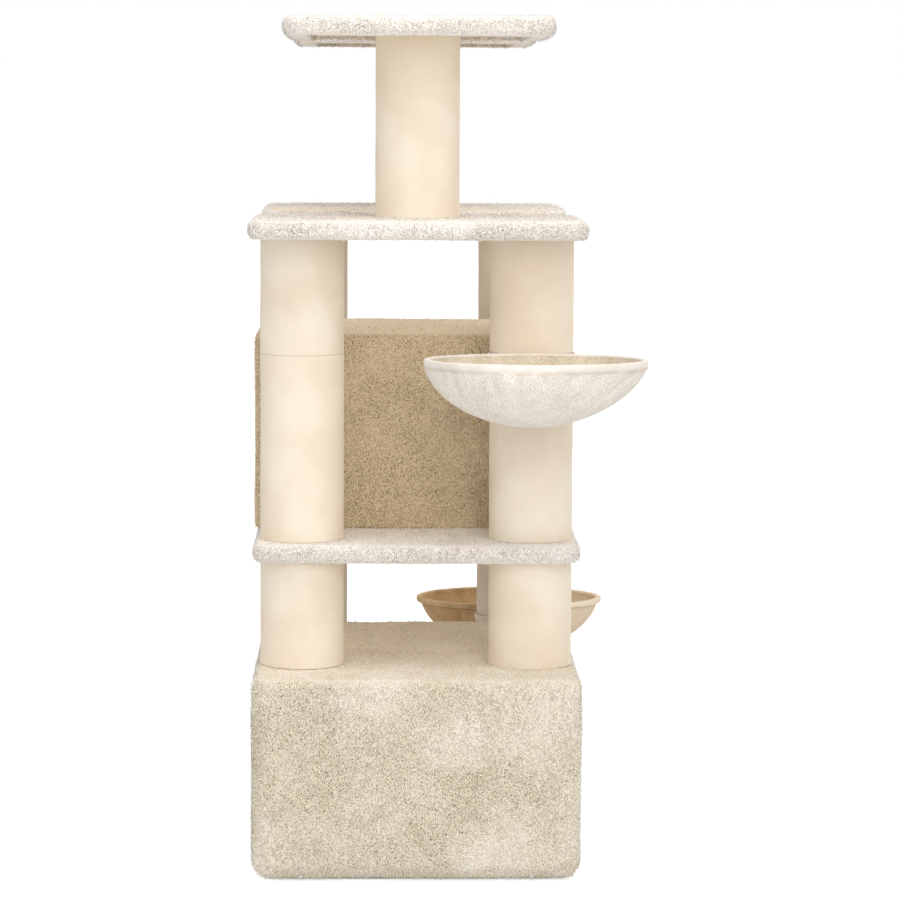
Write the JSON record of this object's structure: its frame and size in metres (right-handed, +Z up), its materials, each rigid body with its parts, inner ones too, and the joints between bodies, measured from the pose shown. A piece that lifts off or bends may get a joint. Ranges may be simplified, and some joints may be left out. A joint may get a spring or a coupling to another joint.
{
  "type": "cat tree",
  "caption": "Free-standing cat tree with plush houses, decks on cloth-covered posts, high perches and hooped baskets that swivel.",
  "frame": {"origin": "middle of the underside of the base, on the floor", "axes": "+X along the length towards the end with the lower basket, -Y the front with the house doors, +Z up"},
  "size_m": [1.2817, 0.5385, 1.1745],
  "materials": {
    "chipboard": "raw",
    "cardboard_tube": "raw",
    "plywood_disc": "raw",
    "zinc_steel": "zinc plated",
    "brass_insert": "turned",
    "enamelled_steel": "satin",
    "post_cloth": "short nap",
    "cream_plush": "cut pile",
    "beige_plush": "cut pile",
    "tan_plush": "cut pile",
    "white_basket_cloth": "short nap",
    "tan_basket_cloth": "short nap"
  },
  "bodies": {
    "tree": {"base_board": "chipboard", "base_cover": "cream_plush", "board_inserts": "brass_insert", "bolt_washers": "zinc_steel", "front_left_post_lower": "post_cloth", "front_left_post_middle": "post_cloth", "front_left_post_upper": "post_cloth", "front_right_post_base": "post_cloth", "front_right_post_lower": "post_cloth", "front_right_post_middle": "post_cloth", "front_right_post_upper": "post_cloth", "house_screws": "zinc_steel", "joint_studs": "zinc_steel", "left_perch_board": "chipboard", "left_perch_cover": "cream_plush", "left_perch_post": "post_cloth", "left_upper_board": "chipboard", "left_upper_cover": "cream_plush", "lower_house_back_panel": "chipboard", "lower_house_cover": "beige_plush", "lower_house_front_panel": "chipboard", "lower_house_left_panel": "chipboard", "lower_house_right_panel": "chipboard", "lower_house_top_panel": "chipboard", "lower_post_tubes": "cardboard_tube", "middle_board": "chipboard", "middle_cover": "cream_plush", "middle_post_tubes": "cardboard_tube", "perch_post_tubes": "cardboard_tube", "post_bolts": "zinc_steel", "post_discs": "plywood_disc", "rear_left_post_lower": "post_cloth", "rear_left_post_middle": "post_cloth", "rear_left_post_upper": "post_cloth", "rear_right_post_base": "post_cloth", "rear_right_post_lower": "post_cloth", "rear_right_post_middle": "post_cloth", "rear_right_post_upper": "post_cloth", "right_perch_board": "chipboard", "right_perch_cover": "cream_plush", "right_perch_post": "post_cloth", "right_upper_board": "chipboard", "right_upper_cover": "cream_plush", "upper_house_back_panel": "chipboard", "upper_house_cover": "tan_plush", "upper_house_front_panel": "chipboard", "upper_house_left_panel": "chipboard", "upper_house_right_panel": "chipboard", "upper_house_top_panel": "chipboard", "upper_post_tubes": "cardboard_tube"},
    "upper_basket": {"upper_basket_plate": "enamelled_steel", "upper_basket_collar": "white_basket_cloth", "upper_basket_hoop": "enamelled_steel", "upper_basket_binding": "white_basket_cloth", "upper_basket_bowl": "white_basket_cloth"},
    "lower_basket": {"lower_basket_plate": "enamelled_steel", "lower_basket_collar": "tan_basket_cloth", "lower_basket_hoop": "enamelled_steel", "lower_basket_binding": "tan_basket_cloth", "lower_basket_bowl": "tan_basket_cloth"}
  },
  "joints": [
    {"name": "upper_basket_swivel", "type": "hinge", "parent": "tree", "child": "upper_basket", "pos_m": [-0.2775, -0.159, 0.714], "axis": [0, 0, 1], "range_deg": [-40, 95]},
    {"name": "lower_basket_swivel", "type": "hinge", "parent": "tree", "child": "lower_basket", "pos_m": [0.2775, -0.159, 0.268], "axis": [0, 0, 1], "range_deg": [-95, 40]}
  ]
}
